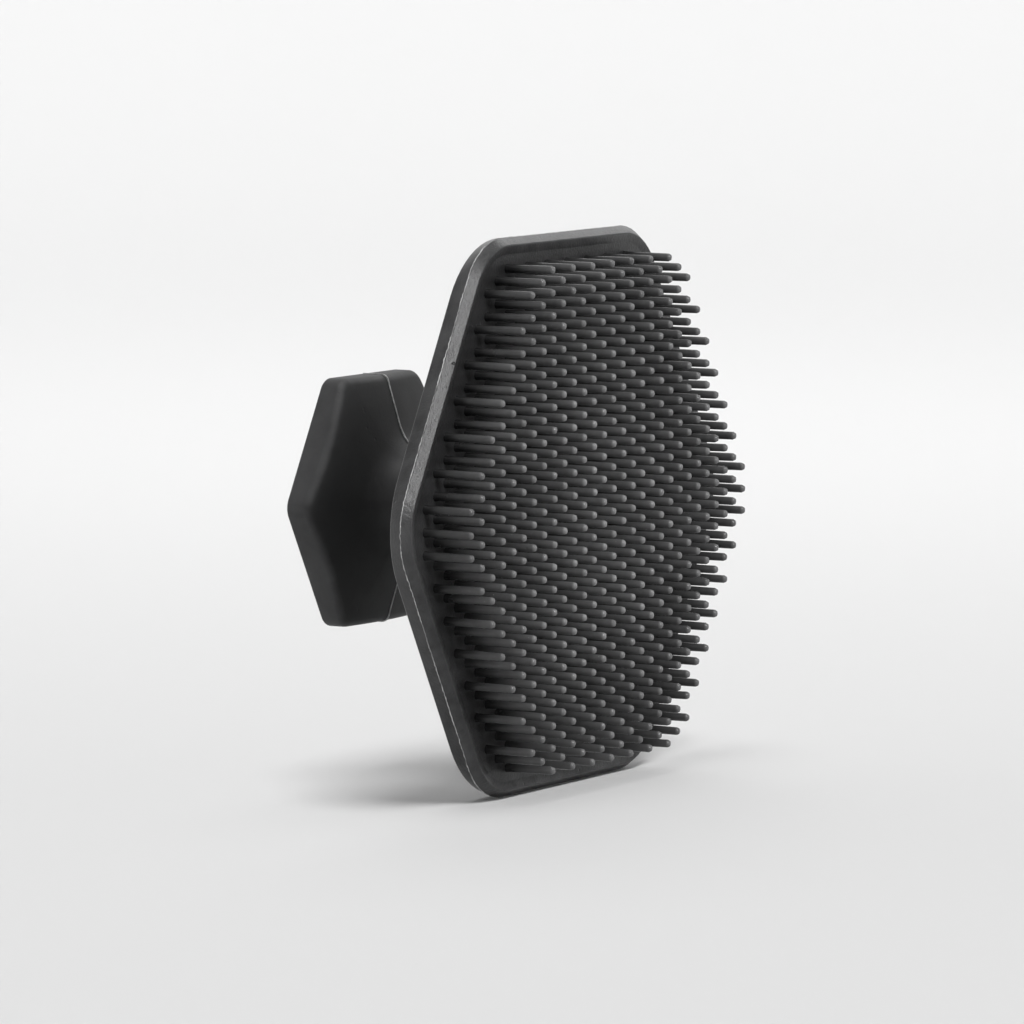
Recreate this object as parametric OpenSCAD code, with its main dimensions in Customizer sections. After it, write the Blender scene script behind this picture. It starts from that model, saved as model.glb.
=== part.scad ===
// Scalp massager brush: a hexagonal silicone pad full of fine bristles, held by a hexagonal
// finger knob on a flared neck. The brush axis lies along X with the bristle tips toward +X,
// and the pad stands on its lower flat side, which is at Z = 0.

/* [Pad] */
// Width of the pad across its flats, at the parting line
pad_af = 70; // [56:0.5:84]
// Corner radius of the pad, at the parting line
pad_corner_r = 9.6; // [8:0.1:12]
// Depth of the rear band, behind the parting line
band_depth = 1.92; // [1.7:0.01:3]
// Inward draft of the rear band over its depth
band_draft = 0.3; // [0.2:0.05:1]
// How much larger the corner radius is at the back of the pad
back_corner_gain = 4; // [0:0.5:5]
// Size of the edge break round the back of the pad
back_edge = 0.35; // [0.1:0.05:0.5]
// Depth of the front bevel, from the parting line to the rim ridge
bevel_depth = 1.24; // [1:0.01:2]
// Inward run of the front bevel
bevel_run = 0.94; // [0.6:0.01:1.5]
// Width of the narrow land on top of the rim ridge
rim_land = 0.2; // [0.1:0.05:0.8]
// How far the bristle floor lies below the rim ridge
floor_recess = 0.3; // [0.1:0.05:0.5]
// Inward run of the slope between the rim ridge and the floor
floor_slope_run = 1.05; // [0.3:0.05:1.2]

/* [Mould lines] */
// Width of the raised flash line at the pad's parting line
flash_width = 0.3; // [0.2:0.05:0.5]
// Height of the raised flash line at the pad's parting line
flash_height = 0.12; // [0.05:0.01:0.2]
// Width of the fine seam over the knob and neck
seam_width = 0.2; // [0.1:0.05:0.4]
// Height of the fine seam over the knob and neck
seam_height = 0.12; // [0.05:0.01:0.2]

/* [Bristles] */
// Distance between neighbouring bristles
bristle_pitch = 2.83; // [2.3:0.01:3.4]
// Bristle diameter at the root
bristle_root_d = 1.06; // [0.8:0.01:1.3]
// Bristle diameter at the tip
bristle_tip_d = 0.94; // [0.7:0.01:1.2]
// Rounding of the edge of a bristle's tip
bristle_tip_round = 0.3; // [0.1:0.05:0.3]
// Length of the outermost bristles above the floor
bristle_length = 6.88; // [5:0.01:9]
// Extra length of the middle bristle over the outermost ones
bristle_crown = 0.4; // [0:0.05:1]
// Distance from the rim ridge to the middle of the outermost bristles
bristle_margin = 2.9; // [2.9:0.05:4]

/* [Neck] */
// Diameter of the neck at its narrowest
neck_d = 11.6; // [9.6:0.1:14]
// Gap between the front edge of the knob and the back of the pad
grip_gap = 24.6; // [20:0.1:30]
// Radius of the flare between the neck and the knob
knob_flare_r = 5; // [4:0.1:6]
// Radius of the flare between the neck and the pad
pad_flare_r = 5; // [4:0.1:6]

/* [Knob] */
// Width of the knob across its flats
knob_af = 31.7; // [29:0.1:38]
// Corner radius of the knob
knob_corner_r = 2.4; // [1.6:0.1:4]
// Height of the knob's side, from its back to its front edge
knob_edge_t = 3; // [2.7:0.1:4.5]
// Size of the bevel round the back of the knob
knob_bevel = 0.45; // [0.2:0.05:0.8]
// Radius that rounds the front edge of the knob
knob_ridge_r = 0.9; // [0.5:0.1:1.2]
// Angle at which the front of the knob rises toward the neck
knob_front_angle = 17.6; // [12:0.1:20]

/* [Inner core] */
// Thickness of the stiff plate inside the pad
plate_t = 1.1; // [0.8:0.05:1.2]
// Width of silicone round the edge of that plate
plate_cover = 3.6; // [3:0.1:5]
// Diameter of the stiff stem inside the neck
stem_d = 6.4; // [5:0.1:7]
// Wall of the two sockets that hold the stem
socket_wall = 1.4; // [1:0.1:1.6]
// Height of the pad plate's socket, behind the plate
plate_socket_h = 2.4; // [1.5:0.1:4]
// Thickness of the stiff core inside the knob
core_t = 2.1; // [1.5:0.1:2.4]
// Thickness of silicone behind the knob core
core_back_cover = 1.1; // [0.8:0.1:1.3]
// Width of silicone round the edge of the knob core
core_side_cover = 2.2; // [2:0.1:4]
// Corner radius of the knob core
core_corner_r = 1; // [0.5:0.1:2]
// Thickness left at the closed end of each socket
socket_floor = 0.5; // [0.3:0.05:0.7]
// Clearance between the stem, its sockets and the silicone round them
fit_gap = 0.05; // [0.03:0.01:0.1]

/* [Hidden] */
silicone = [0.13, 0.13, 0.135];
stiff_plastic = [0.42, 0.43, 0.45];
overlap = 0.3;      // how far shapes of one piece run into each other
arc_steps = 10;     // straight steps in one arc of an outline
flare_end_angle = 72; // where the pad flare stops, leaving a blunt lip instead of a thin one

// Half widths across the flats
pad_half = pad_af / 2;
ridge_half = pad_half - bevel_run;
field_half = ridge_half - bristle_margin;
plate_half = pad_half - plate_cover;
knob_half = knob_af / 2;
core_half = knob_half - core_side_cover;

// The front of the knob is a shallow cone that runs into the neck's flare
neck_r = neck_d / 2;
cone_slope = tan(knob_front_angle);
join_r = neck_r + knob_flare_r * (1 - sin(knob_front_angle));
function cone_u(r) = knob_edge_t + knob_ridge_r + cone_slope * (knob_half - r);

// Stations along the axis, measured from the back of the knob
core_u = core_back_cover;
core_front_u = core_u + core_t;
join_u = cone_u(join_r);
back_u = knob_edge_t + grip_gap;
part_u = back_u + band_depth;
ridge_u = part_u + bevel_depth;
floor_u = ridge_u - floor_recess;
depth = floor_u + bristle_length + bristle_crown;
plate_u = part_u - plate_t;

// Stem and sockets
bore_r = stem_d / 2 + fit_gap;
socket_r = bore_r + socket_wall;
stem_start_u = core_u + socket_floor + fit_gap;
stem_end_u = part_u - socket_floor - fit_gap;

// Puts a shape built along +Z from the back of the knob into the brush's own frame
module along_axis() {
    translate([-depth / 2, 0, pad_half]) rotate([0, 90, 0]) children();
}

// Outline of a hexagon with round corners: half width across the flats, corner radius
module rounded_hexagon(half, r) {
    centre_r = (half - r) / cos(30);
    polygon([for (k = [0:5]) for (i = [0:arc_steps])
        let (corner = 60 * k + 30, a = corner - 30 + 60 * i / arc_steps)
        centre_r * [cos(corner), sin(corner)] + r * [cos(a), sin(a)]]);
}

// The same outline as a ring of points at a station
function hexagon_ring(half, r, u) = [for (k = [0:5]) for (i = [0:arc_steps])
    let (corner = 60 * k + 30, a = corner - 30 + 60 * i / arc_steps,
         p = (half - r) / cos(30) * [cos(corner), sin(corner)] + r * [cos(a), sin(a)])
    [p[0], p[1], u]];

// A closed solid through hexagon rings. Each step is [inset, station] from back to front, and
// may have a third value, by which the corner radius grows.
module hexagon_loft(half, r, steps) {
    n = 6 * (arc_steps + 1);
    last = n * (len(steps) - 1);
    polyhedron(
        points = [for (s = steps) let (gain = len(s) > 2 ? s[2] : 0)
            each hexagon_ring(half - s[0], r - s[0] + gain, s[1])],
        faces = concat(
            [[for (i = [0:n - 1]) i]],
            [[for (i = [n - 1:-1:0]) last + i]],
            [for (s = [0:len(steps) - 2]) for (i = [0:n - 1]) let (j = (i + 1) % n)
                [n * s + i, n * (s + 1) + i, n * (s + 1) + j, n * s + j]]));
}

// A hexagonal plate with round corners between two stations
module hexagon_plate(half, r, from_u, to_u) {
    translate([0, 0, from_u]) linear_extrude(to_u - from_u) rounded_hexagon(half, r);
}

// ---- Pad front: rim, floor and bristles, one silicone moulding ----

module rim() {
    land = bevel_run + rim_land;
    foot = land + floor_slope_run;
    slope = floor_recess / floor_slope_run;
    hexagon_loft(pad_half, pad_corner_r, [
        [0, part_u],
        [0, part_u + flash_width],
        [flash_height, part_u + flash_width],
        [bevel_run, ridge_u],
        [land, ridge_u],
        [foot + overlap, floor_u - overlap * slope]]);
}

// A shallow slab that closes the rim at floor height; the bristles stand on it
module floor_slab() {
    foot = bevel_run + rim_land + floor_slope_run;
    hexagon_plate(pad_half - foot + overlap / 2, pad_corner_r - foot + overlap / 2,
                  part_u + overlap, floor_u);
}

module bristle(length) {
    tip_r = bristle_tip_d / 2;
    translate([0, 0, floor_u]) rotate_extrude($fn = 24) polygon(concat(
        [[0, -overlap], [bristle_root_d / 2, -overlap]],
        [for (a = [0:45:90])
            [tip_r - bristle_tip_round * (1 - cos(a)), length - bristle_tip_round * (1 - sin(a))]],
        [[0, length]]));
}

// The bristles stand on a triangular lattice inside a hexagon. Columns run across the pad and
// every other column is shifted by half a pitch; half_row counts half pitches.
module bristle_field() {
    field_r = field_half / cos(30);
    columns = floor(field_half / (0.75 * bristle_pitch) + 0.02);
    half_rows = floor(2 * field_half / bristle_pitch + 0.02);
    for (column = [-columns:columns]) for (half_row = [-half_rows:half_rows]) {
        across = column * bristle_pitch * cos(30);
        up = half_row * bristle_pitch / 2;
        slant = abs(across) * cos(30) + abs(up) / 2;
        share = (across * across + up * up) / (field_r * field_r);
        if (abs(column) % 2 == abs(half_row) % 2 && slant <= field_half + 0.02)
            translate([up, across, 0]) bristle(bristle_length + bristle_crown * (1 - share));
    }
}

module bristle_pad() color(silicone) along_axis() union() {
    rim();
    floor_slab();
    bristle_field();
}

// ---- Pad back: the drafted band and the back wall, which hold the stiff plate ----

module back_skin() color(silicone) along_axis() difference() {
    hexagon_loft(pad_half, pad_corner_r, [
        [band_draft + back_edge, back_u, back_corner_gain],
        [band_draft, back_u + back_edge, back_corner_gain],
        [flash_height, part_u]]);
    hexagon_plate(plate_half + fit_gap, pad_corner_r - plate_cover + fit_gap,
                  plate_u - fit_gap, part_u + 1);
    translate([0, 0, back_u - 1]) cylinder(h = band_depth, r = socket_r + fit_gap, $fn = 64);
}

// ---- Neck: the flared silicone sleeve between knob and pad ----

// Outside of the neck, from the knob's cone to the back of the pad
function neck_outline(grow) = concat(
    [for (i = [0:arc_steps]) let (a = (90 - knob_front_angle) * (1 - i / arc_steps))
        [neck_r + knob_flare_r - (knob_flare_r - grow) * cos(a),
         join_u + knob_flare_r * cos(knob_front_angle) - (knob_flare_r - grow) * sin(a)]],
    [for (i = [0:arc_steps]) let (a = flare_end_angle * i / arc_steps)
        [neck_r + pad_flare_r - (pad_flare_r - grow) * cos(a),
         back_u - pad_flare_r + (pad_flare_r - grow) * sin(a)]]);

module neck_solid(grow) {
    outline = neck_outline(grow);
    last = outline[len(outline) - 1];
    polygon(concat([[0, outline[0][1]]], outline, [[last[0], back_u], [0, back_u]]));
}

// A thin slab in the plane where the two halves of the knob's mould meet
module seam_slab() {
    translate([-pad_half, -seam_width / 2, 0]) cube([pad_af, seam_width, depth]);
}

module neck_skin() color(silicone) along_axis() difference() {
    union() {
        rotate_extrude($fn = 128) neck_solid(0);
        intersection() {
            rotate_extrude($fn = 128) neck_solid(seam_height);
            translate([0, 0, join_u]) seam_slab();
        }
    }
    translate([0, 0, join_u - 1]) cylinder(h = depth, r = bore_r, $fn = 64);
    translate([0, 0, plate_u - plate_socket_h - fit_gap])
        cylinder(h = depth, r = socket_r + fit_gap, $fn = 64);
}

// ---- Knob: hexagonal silicone skin round a stiff core ----

module knob_solid(grow) {
    intersection() {
        hexagon_loft(knob_half + grow, knob_corner_r + grow, concat(
            [[knob_bevel, 0], [0, knob_bevel]],
            [for (a = [0:18:90])
                [knob_ridge_r * (1 - cos(a)), knob_edge_t + (knob_ridge_r + grow) * sin(a)]],
            [[knob_ridge_r + 0.5, join_u + grow]]));
        rotate_extrude($fn = 128) polygon([
            [0, -1],
            [knob_af, -1],
            [knob_af, cone_u(knob_af) + grow],
            [join_r, join_u + grow],
            [0, join_u + grow]]);
    }
}

module knob_skin() color(silicone) along_axis() difference() {
    union() {
        knob_solid(0);
        intersection() {
            knob_solid(seam_height);
            seam_slab();
            translate([-knob_af, -knob_af, 0]) cube([2 * knob_af, 2 * knob_af, join_u]);
        }
    }
    hexagon_plate(core_half + fit_gap, core_corner_r + fit_gap,
                  core_u - fit_gap, core_front_u + fit_gap);
    translate([0, 0, core_u]) cylinder(h = join_u, r = socket_r + fit_gap, $fn = 64);
}

// ---- Stiff core pieces under the silicone ----

module head_plate() color(stiff_plastic) along_axis() difference() {
    union() {
        hexagon_plate(plate_half, pad_corner_r - plate_cover, plate_u, part_u);
        translate([0, 0, plate_u - plate_socket_h])
            cylinder(h = plate_socket_h + plate_t, r = socket_r, $fn = 64);
    }
    translate([0, 0, plate_u - plate_socket_h - 1])
        cylinder(h = plate_socket_h + plate_t + 1 - socket_floor, r = bore_r, $fn = 64);
}

module stem() color(stiff_plastic) along_axis()
    translate([0, 0, stem_start_u]) cylinder(h = stem_end_u - stem_start_u, d = stem_d, $fn = 64);

module knob_core() color(stiff_plastic) along_axis() difference() {
    union() {
        hexagon_plate(core_half, core_corner_r, core_u, core_front_u);
        translate([0, 0, core_u]) cylinder(h = join_u - core_u, r = socket_r, $fn = 64);
    }
    translate([0, 0, core_u + socket_floor]) cylinder(h = join_u, r = bore_r, $fn = 64);
}

bristle_pad();
back_skin();
neck_skin();
knob_skin();
head_plate();
stem();
knob_core();
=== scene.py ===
"""Looks of a hexagonal silicone scalp massager brush, built around its fixed frame."""

import math
import random

import bmesh
import bpy
from bpy.props import FloatProperty, FloatVectorProperty, IntProperty, PointerProperty
from mathutils import Matrix, Vector, noise


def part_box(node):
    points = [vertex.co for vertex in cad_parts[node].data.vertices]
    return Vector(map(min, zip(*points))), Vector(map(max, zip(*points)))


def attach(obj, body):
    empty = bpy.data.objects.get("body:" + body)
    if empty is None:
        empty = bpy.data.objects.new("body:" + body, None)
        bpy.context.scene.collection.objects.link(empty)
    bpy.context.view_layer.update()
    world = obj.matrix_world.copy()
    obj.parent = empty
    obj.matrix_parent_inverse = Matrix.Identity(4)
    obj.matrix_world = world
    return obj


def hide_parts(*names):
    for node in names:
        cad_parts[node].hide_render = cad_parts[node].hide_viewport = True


bl_info = {
    "name": "Scalp Massager Brush",
    "version": (1, 0, 0),
    "blender": (4, 5, 0),
    "location": "View3D > Sidebar > Brush",
    "description": "Builds a silicone scalp massager brush and its studio stage",
    "category": "Object",
}

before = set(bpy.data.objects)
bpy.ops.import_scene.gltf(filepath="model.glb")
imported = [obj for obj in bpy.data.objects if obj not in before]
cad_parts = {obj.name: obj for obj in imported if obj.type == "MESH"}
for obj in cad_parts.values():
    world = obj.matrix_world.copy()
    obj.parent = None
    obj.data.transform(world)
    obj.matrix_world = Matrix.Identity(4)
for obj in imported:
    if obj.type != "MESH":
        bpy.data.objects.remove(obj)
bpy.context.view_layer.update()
MM = 0.001

# Places that the frame gives
PAD_LOW, PAD_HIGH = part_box("bristle_pad")
BACK_LOW, BACK_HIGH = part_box("back_skin")
KNOB_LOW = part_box("knob_skin")[0]
AXIS_Z = (PAD_LOW[2] + PAD_HIGH[2]) / 2
PAD_HALF = (PAD_HIGH[2] - PAD_LOW[2]) / 2
PAD_REACH = (PAD_HIGH[1] - PAD_LOW[1]) / 2

# A hexagon's corners lie 30 degrees either way from the middles of its sides
COS_30 = math.cos(math.radians(30))
TAN_30 = math.tan(math.radians(30))

# Points nearer than this are one point
MERGE = 0.001 * MM

# Groups of objects that some of the lights keep to
BRUSH_GROUP = "brush_pieces"
STAGE_GROUP = "stage_pieces"
PAD_BODY_GROUP = "pad_body"
PAD_BODY = ("pad_front", "pad_back")


def corner_radius(half, reach):
    """Corner radius of a rounded hexagon from its half width across flats and across corners."""
    return (half - reach * COS_30) / (1 - COS_30)


# ---------------------------------------------------------------- sizes and colours


def length(name, description, millimetres, high=100):
    """A length setting given in millimetres and kept in metres."""
    return FloatProperty(name=name, description=description, default=millimetres * MM,
                         min=0, max=high * MM, subtype="DISTANCE", unit="LENGTH", precision=5)


def colour(name, description, rgb):
    return FloatVectorProperty(name=name, description=description, default=rgb, size=3,
                               min=0, max=1, subtype="COLOR")


class BRUSH_PG_pad(bpy.types.PropertyGroup):
    """Sizes of the pad's rim, floor and back."""

    bevel_run: length("Bevel run", "How far the front bevel runs inward", 0.94)
    bevel_depth: length("Bevel depth", "Distance from the parting line to the rim ridge", 1.24)
    land: length("Ridge land", "Width of the top of the rim ridge", 0.16)
    slope_run: length("Slope run", "Width of the slope between the ridge and the floor", 1.0)
    recess: length("Floor recess", "How far the floor lies below the ridge", 0.3)
    ridge_round: length("Ridge rounding", "Length of the rounding on the ridge's edges", 0.08)
    band_draft: length("Band draft", "How far the rear band leans inward toward the back", 0.3)
    back_gain: length("Back corner gain", "How much rounder the pad's back corners are", 4)
    back_round: length("Back rounding", "Rounding of the pad's back edge", 0.3)
    flash_width: length("Flash width", "Width of the flash line at the parting plane", 0.22)
    flash_height: length("Flash height", "Height of the flash line over the rim", 0.12)


class BRUSH_PG_bristles(bpy.types.PropertyGroup):
    """Sizes and layout of the bristles."""

    pitch: length("Pitch", "Distance between neighbouring bristles", 2.83)
    root_d: length("Root diameter", "Bristle diameter just above its root", 1.12)
    tip_d: length("Tip diameter", "Bristle diameter at its tip", 1.03)
    collar: length("Root collar", "How much wider the root is at the floor", 0.06)
    margin: length("Margin", "Distance from the ridge to the outermost bristles", 2.9)
    crown: length("Crown", "Extra length of the middle bristles", 0.4)
    lean: FloatProperty(name="Lean", description="Largest random lean of a bristle",
                        default=math.radians(0.5), min=0, max=0.1, subtype="ANGLE")
    sides: IntProperty(name="Sides", description="Sides round one bristle", default=10, min=6, max=16)
    seed: IntProperty(name="Seed", description="Seed of the bristles' small differences", default=5)


class BRUSH_PG_grip(bpy.types.PropertyGroup):
    """Sizes of the neck and the knob."""

    knob_af: length("Knob width", "Width of the knob across its flats", 31.7)
    corner: length("Knob corner", "Corner radius of the knob", 2.4)
    bevel: length("Back bevel", "Bevel round the back of the knob", 0.45)
    edge: length("Knob side", "Height of the knob's side", 3.0)
    ridge: length("Knob ridge", "Rounding of the knob's front edge", 0.9)
    front_angle: FloatProperty(name="Front angle", description="Rise of the knob's front face",
                               default=math.radians(17.6), min=0.1, max=0.5, subtype="ANGLE")
    neck_d: length("Neck diameter", "Diameter of the neck at its narrowest", 11.6)
    flare: length("Flare", "Radius of the flares at both ends of the neck", 5)
    seam_width: length("Seam width", "Width of the raised mould seam", 0.2)
    seam_height: length("Seam height", "Height of the raised mould seam", 0.1)


class BRUSH_PG_colours(bpy.types.PropertyGroup):
    """Colours of the brush and its stage."""

    silicone: colour("Silicone", "Main colour of the silicone", (0.007, 0.007, 0.0073))
    silicone_pale: colour("Pale silicone", "Colour where the silicone is rubbed",
                          (0.05, 0.05, 0.051))
    # Painted light: the knob and neck get a paler copy of the pad's silicone colour, lifting the knob
    # and neck that sit in the pad's shade
    grip: colour("Grip silicone", "Colour of the knob and neck", (0.02, 0.02, 0.0205))
    bristle: colour("Bristle silicone", "Colour of the bristles at their roots",
                    (0.008, 0.008, 0.0082))
    # Painted light and shade on the bristles: pale toward the tips where light falls, dark down the
    # shafts where shade falls among them
    bristle_tip_painted_light: colour("Bristle tips", "Colour of the bristles toward their tips",
                         (0.25, 0.25, 0.252))
    # Painted highlight: the flash and seam lines are coloured far paler than the silicone, standing in
    # for the light that the thin fins catch
    flash: colour("Flash", "Colour of the thin flash and seam lines", (0.42, 0.42, 0.42))
    plastic: colour("Core plastic", "Colour of the stiff core", (0.38, 0.39, 0.41))
    floor: colour("Floor", "Colour of the floor and backdrop", (0.72, 0.72, 0.72))


class BRUSH_PG_stage(bpy.types.PropertyGroup):
    """Camera and lights."""

    azimuth: FloatProperty(name="Azimuth", description="Camera's angle round the brush",
                           default=math.radians(30.5), subtype="ANGLE")
    elevation: FloatProperty(name="Elevation", description="Camera's angle above the floor",
                             default=math.radians(5.74), subtype="ANGLE")
    distance: length("Distance", "Distance from the camera to what it looks at", 886, 5000)
    lens: FloatProperty(name="Lens", description="Focal length for a 36 mm sensor",
                        default=248.2, min=20, max=400, unit="CAMERA")
    soft: FloatProperty(name="Soft light", description="Strength of the very broad light on the floor",
                        default=2.72, min=0)
    sun: FloatProperty(name="Top light", description="Strength of the broad light over the brush",
                       default=2.1, min=0)
    back: FloatProperty(name="Back light", description="Watts of the low light behind the brush",
                        default=0.39, min=0)
    far: FloatProperty(name="Far light", description="Watts of the wide light over the far floor",
                       default=8.3, min=0)
    key: FloatProperty(name="Key light", description="Watts of the soft light at the right front",
                       default=8.5, min=0)
    fill: FloatProperty(name="Left light", description="Watts of the soft light at the upper left",
                        default=1.4, min=0)
    rim: FloatProperty(name="Rim light", description="Watts of the soft light high behind",
                       default=1.0, min=0)
    front: FloatProperty(name="Front light", description="Watts of the soft light at the left front",
                         default=0.75, min=0)
    world: FloatProperty(name="World light", description="Strength of the white surroundings",
                         default=0.05, min=0)


# ---------------------------------------------------------------- materials


class Signal:
    """A shader socket that Python expressions can use; each operator adds a Math node."""

    def __init__(self, tree, socket):
        self.tree = tree
        self.socket = socket

    def math(self, operation, *others, clamp=False):
        node = self.tree.nodes.new("ShaderNodeMath")
        node.operation = operation
        node.use_clamp = clamp
        for slot, value in zip(node.inputs, (self, *others)):
            plug(self.tree, slot, value)
        return Signal(self.tree, node.outputs[0])

    def flipped(self, operation, other):
        """The operation with this signal second."""
        node = self.tree.nodes.new("ShaderNodeMath")
        node.operation = operation
        plug(self.tree, node.inputs[0], other)
        plug(self.tree, node.inputs[1], self)
        return Signal(self.tree, node.outputs[0])

    def __add__(self, other):
        return self.math("ADD", other)

    def __radd__(self, other):
        return self.flipped("ADD", other)

    def __sub__(self, other):
        return self.math("SUBTRACT", other)

    def __rsub__(self, other):
        return self.flipped("SUBTRACT", other)

    def __mul__(self, other):
        return self.math("MULTIPLY", other)

    def __rmul__(self, other):
        return self.flipped("MULTIPLY", other)

    def clamped(self):
        return self.math("ADD", 0.0, clamp=True)


def plug(tree, slot, value):
    """Gives a socket a value, or a link if the value is a Signal."""
    if isinstance(value, Signal):
        tree.links.new(value.socket, slot)
    elif value is not None:
        slot.default_value = value


class Finish:
    """One procedural material. node() adds any node; surface() sets the shader's sockets."""

    def __init__(self, name, **constants):
        self.material = bpy.data.materials.new(name)
        self.material.use_nodes = True
        self.tree = self.material.node_tree
        self.shader = self.tree.nodes["Principled BSDF"]
        for socket, value in constants.items():
            self.shader.inputs[socket.replace("_", " ")].default_value = value

    def node(self, kind, settings=None, sockets=None, output=0):
        """A node of that kind with its settings made first, then its sockets. Gives one output."""
        made = self.tree.nodes.new("ShaderNode" + kind)
        for key, value in (settings or {}).items():
            setattr(made, key, value)
        for key, value in (sockets or {}).items():
            plug(self.tree, made.inputs[key], value)
        return Signal(self.tree, made.outputs[output])

    def surface(self, **signals):
        for socket, value in signals.items():
            plug(self.tree, self.shader.inputs[socket.replace("_", " ")], value)
        return self.material

    def place(self):
        """Object coordinates, in metres."""
        return self.node("TexCoord", output="Object")

    def noise(self, place, scale, detail=3.0, roughness=0.5):
        return self.node("TexNoise", sockets={"Vector": place, "Scale": scale,
                                              "Detail": detail, "Roughness": roughness})

    def step(self, value, low, high):
        """0 below low, 1 above high, smooth between them."""
        return self.node("MapRange", {"interpolation_type": "SMOOTHSTEP"},
                         {"Value": value, "From Min": low, "From Max": high})

    def mix(self, share, first, second):
        """A colour between two colours."""
        return self.node("Mix", {"data_type": "RGBA"}, {"Factor": share, 6: first, 7: second},
                         output=2)

    def bump(self, height, distance, strength, under=None):
        """The normal of a surface that this height raises, on top of another bump's normal."""
        return self.node("Bump", sockets={"Height": height, "Distance": distance,
                                          "Strength": strength, "Normal": under})


def rgba(rgb):
    return (*rgb, 1.0)


def silicone(name, base, pale, grain=1.0, wear_and_shade=0.6, roughness=0.37, patches=1.0,
             gloss=0.5, mottle=0.14):
    """Matte moulded silicone: soft mottling, fine grain, tiny nicks, rubbed edges and dust. On the
    bristles the paling is painted shade and light instead: dark down the shafts, pale at the tips.

    grain scales every bump, wear_and_shade how pale the marked places are (rubbed edges; on the
    bristles the painted light toward the tips), patches how broken up they are, and mottle how cloudy
    the colour is."""
    made = Finish(name, Specular_IOR_Level=gloss, IOR=1.41, Sheen_Weight=0.03, Sheen_Roughness=0.4)
    place = made.place()
    cloud = made.noise(place, 95.0, 4.0, 0.6)
    smear = made.noise(place, 420.0, 3.0, 0.55)
    fine = made.noise(place, 3200.0, 3.0, 0.65)
    cells = made.node("TexVoronoi", {"feature": "F1"}, {"Vector": place, "Scale": 620.0,
                                                        "Randomness": 1.0})
    chance = made.noise(place, 260.0, 1.0)
    nick = (1 - made.step(cells, 0.05, 0.16)) * made.step(chance, 0.56, 0.66)
    dust_cells = made.node("TexVoronoi", {"feature": "F1"}, {"Vector": place, "Scale": 1500.0})
    dust = (1 - made.step(dust_cells, 0.03, 0.1)) * made.step(smear, 0.58, 0.7)
    # On the bristles this share is painted shade and light, dark down the shafts and pale at the tips;
    # on the other pieces it marks rubbed edges
    rubbed = made.node("Attribute", {"attribute_name": "wear_and_shade"}, output="Fac")
    rubbed = rubbed * (1 - patches + patches * made.step(smear * 0.6 + cloud * 0.4, 0.3, 0.62)) * wear_and_shade
    share = (made.step(cloud, 0.35, 0.75) * mottle + rubbed + dust * 0.5).clamped()
    tint = made.mix(share, rgba(base), rgba(pale))
    rough = roughness + (smear - 0.5) * 0.16 + (fine - 0.5) * 0.1 - rubbed * 0.1 + dust * 0.2
    waves = made.bump(cloud, 0.12 * MM * grain, 0.5)
    nicks = made.bump(nick * -1.0 + smear * 0.35, 0.06 * MM * grain, 0.8, waves)
    grained = made.bump(fine, 0.04 * MM * grain, 0.7, nicks)
    return made.surface(Base_Color=tint, Roughness=rough, Normal=grained)


def painted_highlight_flash(name, base):
    """A painted highlight on thin ragged silicone: its pale colour stands in for the light that a thin
    fin catches, broken by noise into paler and darker patches.
    """
    made = Finish(name, Specular_IOR_Level=0.55, IOR=1.41)
    place = made.place()
    broken = made.noise(place, 900.0, 3.0, 0.7)
    patches = made.noise(place, 140.0, 2.0)
    # The painted highlight breaks into darker patches at about a third of its brightness
    share = made.step(broken * 0.6 + patches * 0.4, 0.36, 0.62)
    dark = tuple(0.35 * part for part in base)
    tint = made.mix(share, rgba(dark), rgba(base))
    return made.surface(Base_Color=tint, Roughness=0.42 + broken * 0.25,
                        Normal=made.bump(broken, 0.04 * MM, 0.7))


def core_plastic(name, base):
    """Moulded plastic of the hidden core: faint flow lines and a fine spark texture."""
    made = Finish(name, Specular_IOR_Level=0.5, IOR=1.49)
    place = made.place()
    flow = made.node("TexWave", {"wave_type": "RINGS", "rings_direction": "X"},
                     {"Vector": place, "Scale": 60.0, "Distortion": 6.0, "Detail": 2.0})
    spark = made.noise(place, 3800.0, 2.0)
    tint = made.mix(flow * 0.25, rgba(base), rgba(tuple(0.8 * part for part in base)))
    return made.surface(Base_Color=tint, Roughness=0.38 + spark * 0.2,
                        Normal=made.bump(spark, 0.02 * MM, 0.5))


def paper_floor(name, base):
    """Plain seamless studio paper."""
    made = Finish(name, Specular_IOR_Level=0.2)
    fibre = made.noise(made.place(), 300.0, 3.0)
    return made.surface(Base_Color=rgba(base), Roughness=0.85 + fibre * 0.1)


# ---------------------------------------------------------------- mesh helpers


def light_group(name):
    """The collection of that name, for lights that reach or are blocked by its objects only."""
    return bpy.data.collections.get(name) or bpy.data.collections.new(name)


def ring_direction(turn):
    """Outward direction of the hexagon's side after that many degrees, from straight down."""
    angle = math.radians(turn)
    return Vector((0, math.sin(angle), -math.cos(angle)))


def wire(bm, points, roundings=()):
    """Draws an outline through (inset, x) points at the start of the lowest side.

    roundings lists (point number, length) for corners that are rounded by a bevel."""
    made = [bm.verts.new(p) for p in points]
    for a, b in zip(made, made[1:]):
        bm.edges.new((a, b))
    for number, size in roundings:
        bmesh.ops.bevel(bm, geom=[made[number]], offset=size, offset_type="OFFSET",
                        affect="VERTICES", segments=5, profile=0.5, material=-1)
    return bm


def hexagon_outline(half, radius, points, roundings=()):
    """A bmesh with the outline standing at the start of the lowest side of a rounded hexagon."""
    bm = bmesh.new()
    start = -(half - radius) * TAN_30
    places = [(x, start, AXIS_Z - half + inset) for inset, x in points]
    return wire(bm, places, roundings)


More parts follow.
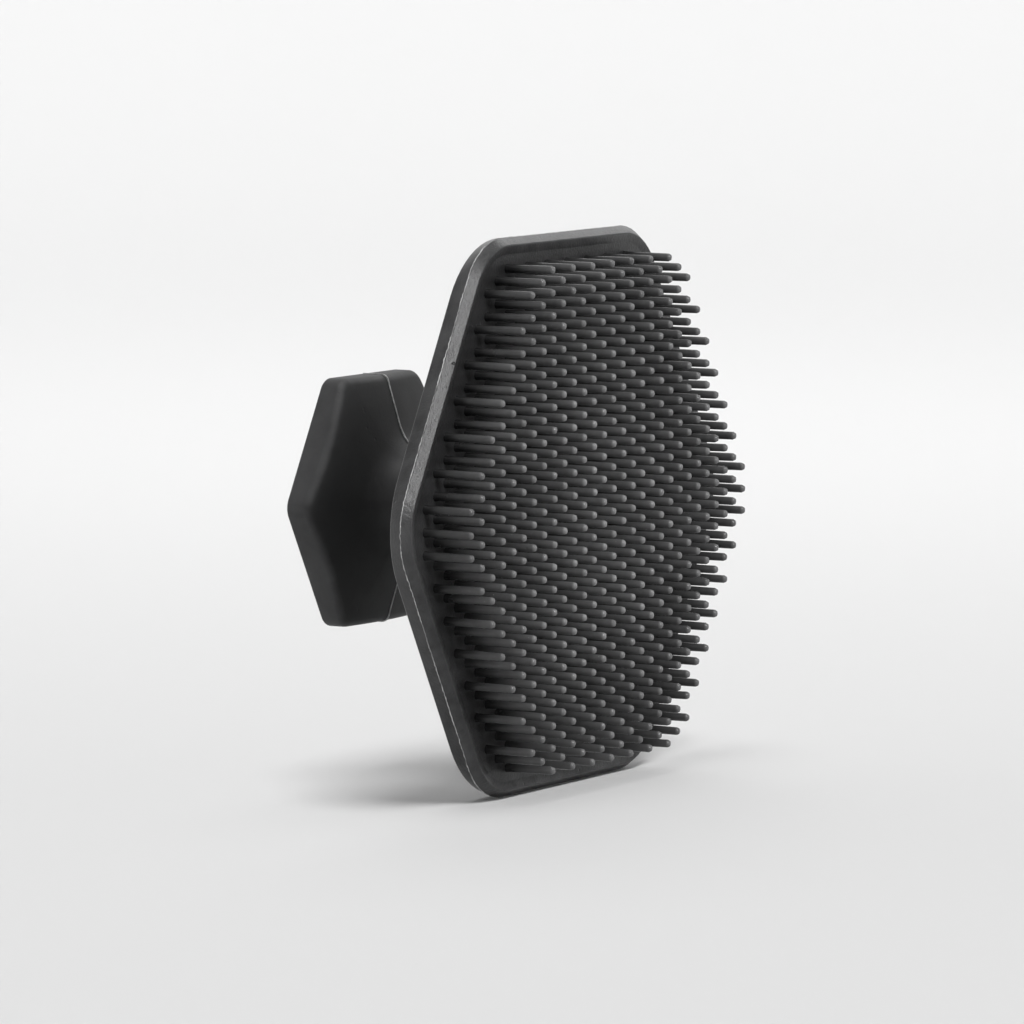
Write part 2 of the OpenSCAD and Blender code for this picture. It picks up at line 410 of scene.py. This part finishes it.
def sweep_hexagon(bm, half, radius, side_steps=10, corner_steps=10):
    """Sweeps the outline once round a hexagon with round corners, by six straight and six turned
    spins, and closes it."""
    reach = half - radius
    side = 2 * reach * TAN_30
    geom = bm.verts[:] + bm.edges[:]
    for k in range(6):
        outward = ring_direction(60 * k)
        along = ring_direction(60 * k + 90)
        turned = bmesh.ops.spin(bm, geom=geom, cent=(0, 0, AXIS_Z), axis=(1, 0, 0),
                                dvec=along * side / side_steps, angle=0, steps=side_steps,
                                use_duplicate=False)
        corner = Vector((0, 0, AXIS_Z)) + outward * reach + along * side / 2
        turned = bmesh.ops.spin(bm, geom=turned["geom_last"], cent=corner, axis=(1, 0, 0),
                                angle=math.radians(60), steps=corner_steps, use_duplicate=False)
        geom = turned["geom_last"]
    bmesh.ops.remove_doubles(bm, verts=bm.verts, dist=MERGE)


def hexagon_loop(bm, half, radius, x):
    """Adds one closed loop of edges along a rounded hexagon at a station. Gives its edges."""
    ring = hexagon_outline(half, radius, [(0, x)])
    sweep_hexagon(ring, half, radius)
    mesh = bpy.data.meshes.new("ring")
    ring.to_mesh(mesh)
    ring.free()
    first = len(bm.edges)
    bm.from_mesh(mesh)
    bpy.data.meshes.remove(mesh)
    bm.edges.ensure_lookup_table()
    return bm.edges[first:]


def open_edges(bm):
    return [e for e in bm.edges if len(e.link_faces) == 1]


def close_holes(bm):
    """Fills every open loop with one flat face."""
    bmesh.ops.holes_fill(bm, edges=open_edges(bm), sides=0)


def edge_wear(v, full=math.radians(16)):
    """How sharply a vertex's convex edges turn, for the rubbed look of edges."""
    turns = [e.calc_face_angle_signed(0.0) for e in v.link_edges if len(e.link_faces) == 2]
    return min(1.0, max(0.0, max(turns, default=0.0)) / full)


def finish_piece(bm, name, material, nodes=(), sharp=40.0, wear_and_shade=edge_wear):
    """Makes the object of a finished bmesh: normals out, smooth with sharp edges, marked by a
    wear_and_shade attribute (rubbed edges; painted shade and light on the bristles), riding.
    """
    bmesh.ops.recalc_face_normals(bm, faces=bm.faces)
    layer = bm.verts.layers.float.new("wear_and_shade")
    for v in bm.verts:
        v[layer] = wear_and_shade(v)
    for face in bm.faces:
        face.smooth = True
    for edge in bm.edges:
        edge.smooth = edge.calc_face_angle(0.0) < math.radians(sharp)
    mesh = bpy.data.meshes.new(name)
    bm.to_mesh(mesh)
    bm.free()
    piece = bpy.data.objects.new(name, mesh)
    mesh.materials.append(material)
    bpy.context.scene.collection.objects.link(piece)
    light_group(BRUSH_GROUP).objects.link(piece)
    if name in PAD_BODY:
        light_group(PAD_BODY_GROUP).objects.link(piece)
    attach(piece, "root")
    if nodes:
        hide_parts(*nodes)
    return piece


# ---------------------------------------------------------------- pieces


class BRUSH_OT_pad_front(bpy.types.Operator):
    """Builds the pad's bevelled rim, its rounded ridge and the bristle floor."""

    bl_idname = "brush.pad_front"
    bl_label = "Pad Front"

    def execute(self, context):
        pad = context.scene.brush_pad
        tints = context.scene.brush_colours
        radius = corner_radius(PAD_HALF, PAD_REACH)
        part_x = PAD_LOW[0]
        ridge_x = part_x + pad.bevel_depth
        floor_x = ridge_x - pad.recess
        land = pad.bevel_run + pad.land
        foot = land + pad.slope_run
        bm = hexagon_outline(PAD_HALF, radius, [
            (foot + 2 * pad.land, part_x),
            (pad.flash_height, part_x),
            (pad.flash_height, part_x + pad.flash_width),
            (pad.bevel_run, ridge_x),
            (land, ridge_x),
            (foot, floor_x),
            (foot + 2 * pad.land, floor_x),
        ], [(3, pad.ridge_round), (5, pad.ridge_round)])
        sweep_hexagon(bm, PAD_HALF, radius)
        close_holes(bm)
        material = silicone("pad_silicone", tints.silicone, tints.silicone_pale, grain=2.0,
                            mottle=0.36)
        finish_piece(bm, "pad_front", material, ["bristle_pad"], sharp=13)
        return {"FINISHED"}


class BRUSH_OT_rim_flash(bpy.types.Operator):
    """Builds the thin ragged flash line round the pad's parting plane."""

    bl_idname = "brush.rim_flash"
    bl_label = "Rim Flash"

    def execute(self, context):
        pad = context.scene.brush_pad
        tints = context.scene.brush_colours
        radius = corner_radius(PAD_HALF, PAD_REACH)
        part_x = PAD_LOW[0]
        sunk = pad.flash_height + pad.flash_width
        crest = 0.02 * MM
        bm = hexagon_outline(PAD_HALF, radius, [
            (sunk, part_x),
            (crest, part_x + 0.35 * pad.flash_width),
            (crest, part_x + 0.65 * pad.flash_width),
            (sunk, part_x + pad.flash_width),
            (sunk, part_x),
        ])
        sweep_hexagon(bm, PAD_HALF, radius, side_steps=150, corner_steps=44)
        self.make_ragged(bm, pad.flash_height)
        # The flash's pale colour is a painted highlight, not the silicone's own tone
        material = painted_highlight_flash("flash_painted_highlight", tints.flash)
        finish_piece(bm, "rim_flash", material, sharp=60)
        return {"FINISHED"}

    def make_ragged(self, bm, height):
        """Lets the flash's crest rise and sink and wander a little along the rim."""
        # Noise cells in a metre
        waves, chips, jogs = 900, 3400, 2700
        deepest = 0.7 * height
        wander, jog = 0.06 * MM, 0.1 * MM
        # Keeps the sideways wave apart from the inward one
        shift = Vector((0, 0, AXIS_Z))
        for v in bm.verts:
            out = Vector((0, v.co.y, v.co.z - AXIS_Z)).normalized()
            wave = v.co * waves
            drop = 0.5 + 0.5 * noise.noise(wave) + 0.6 * noise.noise(v.co * chips)
            v.co -= out * deepest * max(0.0, min(1.0, drop))
            v.co.x += wander * noise.noise(wave + shift) + jog * noise.noise(v.co * jogs)


class BRUSH_OT_bristles(bpy.types.Operator):
    """Builds the field of round-tipped bristles on a triangular lattice."""

    bl_idname = "brush.bristles"
    bl_label = "Bristles"

    def execute(self, context):
        pad = context.scene.brush_pad
        sizes = context.scene.brush_bristles
        tints = context.scene.brush_colours
        floor_x = PAD_LOW[0] + pad.bevel_depth - pad.recess
        longest = PAD_HIGH[0] - floor_x
        field = PAD_HALF - pad.bevel_run - sizes.margin
        pattern = self.pattern(sizes, longest)
        dice = random.Random(sizes.seed)
        bm = bmesh.new()
        for y, z in self.lattice(field, sizes.pitch):
            share = (y * y + z * z) * COS_30 ** 2 / field ** 2
            self.plant(bm, pattern, Vector((floor_x, y, AXIS_Z + z)),
                       (longest - sizes.crown * share) / longest, sizes.lean, dice)
        bpy.data.meshes.remove(pattern)
        # Painted shade and light: the bristles' colour darkens steeply from tip to root, standing in
        # for the shade among the bristles and the light on their tips
        painted_shade_fade = 12
        material = silicone("bristle_silicone", tints.bristle, tints.bristle_tip_painted_light,
                            grain=0.7, wear_and_shade=0.85, roughness=0.24, patches=0.3, gloss=0.3,
                            mottle=0.05)
        finish_piece(bm, "bristle_field", material, sharp=70,
                     wear_and_shade=lambda v: max(0.0, (v.co.x - floor_x) / longest) ** painted_shade_fade)
        return {"FINISHED"}

    def pattern(self, sizes, longest):
        """One bristle at the origin along X: flared root, tapered shaft, round tip."""
        bm = bmesh.new()
        root, tip = sizes.root_d / 2, sizes.tip_d / 2
        sunk, flare = 0.1 * MM, 0.6 * MM
        places = [(-sunk, 0, root + sizes.collar), (flare, 0, root),
                  (longest, 0, tip), (longest, 0, 0)]
        made = [bm.verts.new(p) for p in places]
        for a, b in zip(made, made[1:]):
            bm.edges.new((a, b))
        bmesh.ops.bevel(bm, geom=[made[2]], offset=tip * 0.94, offset_type="OFFSET",
                        affect="VERTICES", segments=2, profile=0.5, material=-1)
        bmesh.ops.spin(bm, geom=bm.verts[:] + bm.edges[:], cent=(0, 0, 0), axis=(1, 0, 0),
                       angle=math.tau, steps=sizes.sides, use_merge=True, use_duplicate=False)
        bmesh.ops.remove_doubles(bm, verts=bm.verts, dist=MERGE)
        close_holes(bm)
        mesh = bpy.data.meshes.new("bristle_pattern")
        bm.to_mesh(mesh)
        bm.free()
        return mesh

    def lattice(self, field, pitch):
        """Places of the bristles in the pad's plane: every other column is half a pitch up."""
        columns = int(field / (0.75 * pitch) + 0.02)
        half_rows = int(2 * field / pitch + 0.02)
        for column in range(-columns, columns + 1):
            for half_row in range(-half_rows, half_rows + 1):
                across = column * pitch * COS_30
                up = half_row * pitch / 2
                slant = abs(across) * COS_30 + abs(up) / 2
                if (column - half_row) % 2 == 0 and slant <= field + 0.02 * MM:
                    yield across, up

    def plant(self, bm, pattern, foot, stretch, lean, dice):
        """Adds one bristle at its foot, a little turned, leaned and shortened."""
        first = len(bm.verts)
        bm.from_mesh(pattern)
        bm.verts.ensure_lookup_table()
        shortest = 0.006
        stretch *= 1 - shortest * dice.random()
        lean_y, lean_z = (dice.uniform(-lean, lean) for _ in range(2))
        place = (Matrix.Translation(foot) @ Matrix.Rotation(lean_y, 4, "Y")
                 @ Matrix.Rotation(lean_z, 4, "Z") @ Matrix.Rotation(dice.uniform(0, 3), 4, "X")
                 @ Matrix.Diagonal((stretch, 1, 1, 1)))
        bmesh.ops.transform(bm, matrix=place, verts=bm.verts[first:])


class BRUSH_OT_pad_back(bpy.types.Operator):
    """Builds the pad's back: the drafted rear band and the flat back wall."""

    bl_idname = "brush.pad_back"
    bl_label = "Pad Back"

    def execute(self, context):
        pad = context.scene.brush_pad
        tints = context.scene.brush_colours
        radius = corner_radius(PAD_HALF, PAD_REACH)
        bm = bmesh.new()
        front = hexagon_loop(bm, PAD_HALF - pad.flash_height, radius - pad.flash_height,
                             BACK_HIGH[0])
        back = hexagon_loop(bm, PAD_HALF - pad.band_draft,
                            radius - pad.band_draft + pad.back_gain, BACK_LOW[0])
        bmesh.ops.bridge_loops(bm, edges=front + back)
        close_holes(bm)
        bmesh.ops.bevel(bm, geom=back, offset=pad.back_round, offset_type="OFFSET",
                        affect="EDGES", segments=4, profile=0.5, material=-1)
        material = silicone("back_silicone", tints.silicone, tints.silicone_pale, grain=1.2)
        finish_piece(bm, "pad_back", material, ["back_skin"])
        return {"FINISHED"}


class GripShape:
    """The grip's outline: how far its surface lies from the axis, and where along it."""

    def __init__(self, grip):
        self.half = grip.knob_af / 2
        self.edge_x = KNOB_LOW[0] + grip.edge
        self.slope = math.tan(grip.front_angle)
        self.ridge = grip.ridge
        self.neck = grip.neck_d / 2
        self.flare = grip.flare
        self.join = self.neck + grip.flare * (1 - math.sin(grip.front_angle))
        self.angle = math.pi / 2 - grip.front_angle
        self.last_turn = math.radians(86)

    def front_x(self, r):
        """Where the knob's conical front face lies, at a distance from the axis."""
        return self.edge_x + self.ridge + self.slope * (self.half - r)

    def front(self, start, steps):
        """The cone, from a distance to where the flare starts."""
        for i in range(1, steps + 1):
            r = start + (self.join - start) * i / steps
            yield r, self.front_x(r)

    def neck_line(self, steps=9):
        """Both flares and the neck between them, to the back of the pad."""
        middle = self.front_x(self.join) + self.flare * math.sin(self.angle)
        out = self.neck + self.flare
        for i in range(1, steps + 1):
            a = self.angle * (1 - i / steps)
            yield out - self.flare * math.cos(a), middle - self.flare * math.sin(a)
        end = BACK_LOW[0] - self.flare
        straight = 4
        for i in range(1, straight):
            yield self.neck, middle + (end - middle) * i / straight
        for i in range(steps + 1):
            a = self.last_turn * i / steps
            yield out - self.flare * math.cos(a), end + self.flare * math.sin(a)


class BRUSH_OT_grip(bpy.types.Operator):
    """Builds the hexagonal finger knob and the flared neck as one smooth skin."""

    bl_idname = "brush.grip"
    bl_label = "Knob and Neck"

    def execute(self, context):
        grip = context.scene.brush_grip
        tints = context.scene.brush_colours
        shape = GripShape(grip)
        back_x = KNOB_LOW[0]
        bm = hexagon_outline(shape.half, grip.corner, [
            (grip.corner * 0.9, back_x),
            (0, back_x),
            (0, shape.edge_x),
        ], [(1, grip.bevel)])
        sweep_hexagon(bm, shape.half, grip.corner, side_steps=6, corner_steps=8)
        ridge = self.raise_side(bm, shape)
        rims = self.draw_front(bm, ridge, shape)
        self.round_ridge(bm, ridge, shape.ridge)
        self.draw_neck(bm, rims, shape)
        close_holes(bm)
        # The grip's paler base colour is painted light on the shaded knob and neck
        material = silicone("grip_silicone_painted_light", tints.grip, tints.silicone_pale, grain=0.5,
                            roughness=0.62)
        finish_piece(bm, "grip", material, ["knob_skin", "neck_skin"])
        return {"FINISHED"}

    def distance(self, v):
        return math.hypot(v.co.y, v.co.z - AXIS_Z)

    def raise_side(self, bm, shape):
        """Lifts the side's top edge to the cone of the front face. Gives that loop."""
        edges = [e for e in open_edges(bm) if min(v.co.x for v in e.verts) > shape.edge_x - 0.01 * MM]
        for v in {v for e in edges for v in e.verts}:
            v.co.x = shape.front_x(self.distance(v))
        return edges

    def extrude_loop(self, bm, edges):
        """Extrudes a loop of edges in place. Gives the new loop's edges and vertices."""
        made = bmesh.ops.extrude_edge_only(bm, edges=edges)["geom"]
        verts = [g for g in made if isinstance(g, bmesh.types.BMVert)]
        return [e for e in open_edges(bm) if e.verts[0] in verts and e.verts[1] in verts], verts

    def draw_front(self, bm, edges, shape, steps=5):
        """Draws the front face in from the hexagonal ridge to the round start of the flare."""
        for i in range(1, steps + 1):
            edges, verts = self.extrude_loop(bm, edges)
            for v in verts:
                r = self.distance(v)
                share = 1 / (steps + 1 - i)
                now = r + (shape.join - r) * share
                v.co = self.at_distance(v, now, shape.front_x(now))
        return edges

    def at_distance(self, v, r, x):
        scale = r / self.distance(v)
        return Vector((x, v.co.y * scale, AXIS_Z + (v.co.z - AXIS_Z) * scale))

    def round_ridge(self, bm, edges, size):
        bmesh.ops.bevel(bm, geom=edges, offset=size, offset_type="OFFSET", affect="EDGES",
                        segments=6, profile=0.5, material=-1)

    def draw_neck(self, bm, edges, shape):
        """Draws the neck out of the front face to the back of the pad and sinks its end."""
        for r, x in shape.neck_line():
            edges, verts = self.extrude_loop(bm, edges)
            for v in verts:
                v.co = self.at_distance(v, r, x)
        edges, verts = self.extrude_loop(bm, edges)
        sunk = 0.3 * MM
        for v in verts:
            v.co.x = BACK_LOW[0] + sunk


class BRUSH_OT_seam(bpy.types.Operator):
    """Builds the fine raised mould seam over the top and bottom of the knob and neck."""

    bl_idname = "brush.seam"
    bl_label = "Mould Seam"
    sunk = 0.06 * MM

    def execute(self, context):
        grip = context.scene.brush_grip
        tints = context.scene.brush_colours
        shape = GripShape(grip)
        line = self.outline(grip, shape)
        bm = bmesh.new()
        for way in (1, -1):
            places = [(x, -grip.seam_width / 2, AXIS_Z + way * r) for r, x in line]
            wire(bm, places)
        bmesh.ops.spin(bm, geom=bm.verts[:] + bm.edges[:], cent=(0, 0, 0), axis=(1, 0, 0),
                       dvec=(0, grip.seam_width, 0), angle=0, steps=1, use_duplicate=False)
        self.thicken(bm, grip.seam_height)
        # The seam's pale colour is a painted highlight on the thin ridge, not the silicone's own tone
        material = painted_highlight_flash("seam_painted_highlight", tints.flash)
        finish_piece(bm, "knob_seam", material, sharp=60)
        return {"FINISHED"}

    def outline(self, grip, shape):
        """Distance and station along the knob's middle, just under its skin."""
        sunk = self.sunk
        ridge_top = shape.front_x(shape.half - shape.ridge)
        rounding = [(shape.half - shape.ridge * (1 - math.cos(a)) - sunk,
                     ridge_top - shape.ridge * (1 - math.sin(a)) - sunk)
                    for a in (math.radians(15 * i) for i in range(6))]
        return ([(shape.half - sunk, KNOB_LOW[0] + grip.bevel)] + rounding
                + [(r - sunk, x - sunk) for r, x in shape.front(shape.half - shape.ridge, 8)]
                + [(r - sunk, x) for r, x in shape.neck_line()])

    def thicken(self, bm, height):
        """Gives the strips their height, away from the axis."""
        for face in bm.faces:
            face.normal_update()
            if face.normal.z * (face.calc_center_median().z - AXIS_Z) < 0:
                face.normal_flip()
        for v in bm.verts:
            v.normal_update()
        lifted = bmesh.ops.extrude_face_region(bm, geom=bm.faces[:], use_keep_orig=True)["geom"]
        for v in lifted:
            if isinstance(v, bmesh.types.BMVert):
                v.co += v.normal * (height + self.sunk)


class BRUSH_OT_core(bpy.types.Operator):
    """Gives the stiff core pieces their moulded plastic."""

    bl_idname = "brush.core"
    bl_label = "Stiff Core"

    def execute(self, context):
        plastic = core_plastic("core_plastic", context.scene.brush_colours.plastic)
        for name in ("head_plate", "stem", "knob_core"):
            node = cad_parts[name]
            for slot in node.material_slots:
                slot.material = plastic
            light_group(BRUSH_GROUP).objects.link(node)
        return {"FINISHED"}


class BRUSH_OT_stage(bpy.types.Operator):
    """Builds the pale floor with its rising edge, the soft lights and the camera."""

    bl_idname = "brush.stage"
    bl_label = "Stage"

    def execute(self, context):
        stage = context.scene.brush_stage
        self.floor(context.scene.brush_colours.floor)
        self.lights(context.scene, stage)
        self.camera(context.scene, stage)
        context.scene.view_settings.view_transform = "Standard"
        return {"FINISHED"}

    def floor(self, tint):
        """A round floor whose edge curves up into a low wall."""
        bm = bmesh.new()
        radius, rise, wall = 4.2, 3.0, 3.2
        flat = radius - rise - 0.1
        wire(bm, [(0, 0, 0), (flat, 0, 0), (radius, 0, 0), (radius, 0, wall)])
        corner = max(bm.verts, key=lambda v: v.co.x - v.co.z)
        bmesh.ops.bevel(bm, geom=[corner], offset=rise, offset_type="OFFSET",
                        affect="VERTICES", segments=24, profile=0.5, material=-1)
        bmesh.ops.spin(bm, geom=bm.verts[:] + bm.edges[:], cent=(0, 0, 0), axis=(0, 0, 1),
                       angle=math.tau, steps=96, use_merge=True, use_duplicate=False)
        bmesh.ops.remove_doubles(bm, verts=bm.verts, dist=0.01 * MM)
        bmesh.ops.recalc_face_normals(bm, faces=bm.faces)
        middle = min(bm.faces, key=lambda f: f.calc_center_median().length)
        if middle.normal.z < 0:
            bmesh.ops.reverse_faces(bm, faces=bm.faces)
        for face in bm.faces:
            face.smooth = True
        mesh = bpy.data.meshes.new("studio_floor")
        bm.to_mesh(mesh)
        bm.free()
        floor = bpy.data.objects.new("studio_floor", mesh)
        mesh.materials.append(paper_floor("studio_paper", tint))
        bpy.context.scene.collection.objects.link(floor)
        light_group(STAGE_GROUP).objects.link(floor)

    def lights(self, scene, stage):
        world = bpy.data.worlds.new("studio_world")
        world.use_nodes = True
        background = world.node_tree.nodes["Background"]
        background.inputs["Color"].default_value = (1, 1, 1, 1)
        background.inputs["Strength"].default_value = stage.world
        scene.world = world
        for name, place, share, width, blockers in (
                ("soft_light", (0.02, -0.14, 0.8), 0.27, 28, BRUSH_GROUP),
                ("side_light", (0.28, -0.2, 0.8), 0.73, 22, PAD_BODY_GROUP)):
            soft = self.sun(name, place, width, stage.soft * share)
            soft.light_linking.receiver_collection = light_group(STAGE_GROUP)
            soft.light_linking.blocker_collection = light_group(blockers)
        self.disk("back_light", (-0.2, 0.4, 0.42), (-0.25, 0.5, 0), 0.3, stage.back)
        self.disk("far_light", (-0.9, 1.55, 1.8), (-0.95, 1.65, 0), 1.6, stage.far)
        middle = (0, 0, AXIS_Z)
        for light in (self.sun("top_light", (0.115, -0.037, 0.8), 31, stage.sun),
                      self.disk("key_light", (0.75, -0.3, 0.64), middle, 0.3, stage.key),
                      self.disk("left_light", (-0.55, -0.45, 0.75), middle, 0.9, stage.fill),
                      self.disk("rim_light", (0.05, 0.8, 0.55), middle, 0.35, stage.rim),
                      self.disk("front_light", (-0.45, -0.75, 0.1), middle, 0.25, stage.front)):
            light.light_linking.receiver_collection = light_group(BRUSH_GROUP)

    def light(self, name, kind, place, target, power):
        data = bpy.data.lights.new(name, kind)
        data.energy = power
        light = bpy.data.objects.new(name, data)
        light.location = place
        aim = Vector(target) - Vector(place)
        light.rotation_euler = aim.to_track_quat("-Z", "Y").to_euler()
        light.visible_camera = False
        bpy.context.scene.collection.objects.link(light)
        return light

    def sun(self, name, place, width, strength):
        """A distant light from a direction, as wide as an angle in degrees."""
        light = self.light(name, "SUN", place, (0, 0, 0), strength)
        light.data.angle = math.radians(width)
        return light

    def disk(self, name, place, target, size, power):
        light = self.light(name, "AREA", place, target, power)
        light.data.shape = "DISK"
        light.data.size = size
        return light

    def camera(self, scene, stage):
        data = bpy.data.cameras.new("camera")
        data.lens = stage.lens
        data.sensor_width = 36
        camera = bpy.data.objects.new("camera", data)
        a, e = stage.azimuth, stage.elevation
        back = Vector((math.sin(a) * math.cos(e), -math.cos(a) * math.cos(e), math.sin(e)))
        aim = Vector((7.47 * MM, -6.48 * MM, AXIS_Z - 0.06 * MM))
        camera.location = aim + back * stage.distance
        camera.rotation_euler = back.to_track_quat("Z", "Y").to_euler()
        scene.collection.objects.link(camera)
        scene.camera = camera


# ---------------------------------------------------------------- panel and run

BUILD_ORDER = (
    BRUSH_OT_stage,
    BRUSH_OT_pad_front,
    BRUSH_OT_bristles,
    BRUSH_OT_rim_flash,
    BRUSH_OT_pad_back,
    BRUSH_OT_grip,
    BRUSH_OT_seam,
    BRUSH_OT_core,
)

SETTINGS = {
    "brush_pad": BRUSH_PG_pad,
    "brush_bristles": BRUSH_PG_bristles,
    "brush_grip": BRUSH_PG_grip,
    "brush_colours": BRUSH_PG_colours,
    "brush_stage": BRUSH_PG_stage,
}


class BRUSH_PT_panel(bpy.types.Panel):
    """Lists the brush's settings and its build steps."""

    bl_idname = "BRUSH_PT_panel"
    bl_label = "Scalp Massager Brush"
    bl_space_type = "VIEW_3D"
    bl_region_type = "UI"
    bl_category = "Brush"

    def draw(self, context):
        for name, group in SETTINGS.items():
            box = self.layout.box()
            for field in group.__annotations__:
                box.prop(getattr(context.scene, name), field)
        for step in BUILD_ORDER:
            self.layout.operator(step.bl_idname)


def register():
    for group in (*SETTINGS.values(), *BUILD_ORDER, BRUSH_PT_panel):
        bpy.utils.register_class(group)
    for name, group in SETTINGS.items():
        setattr(bpy.types.Scene, name, PointerProperty(type=group))


def unregister():
    for name in SETTINGS:
        delattr(bpy.types.Scene, name)
    for group in reversed((*SETTINGS.values(), *BUILD_ORDER, BRUSH_PT_panel)):
        bpy.utils.unregister_class(group)


def main():
    register()
    for step in BUILD_ORDER:
        family, name = step.bl_idname.split(".")
        getattr(getattr(bpy.ops, family), name)()


if __name__ == "__main__":
    main()
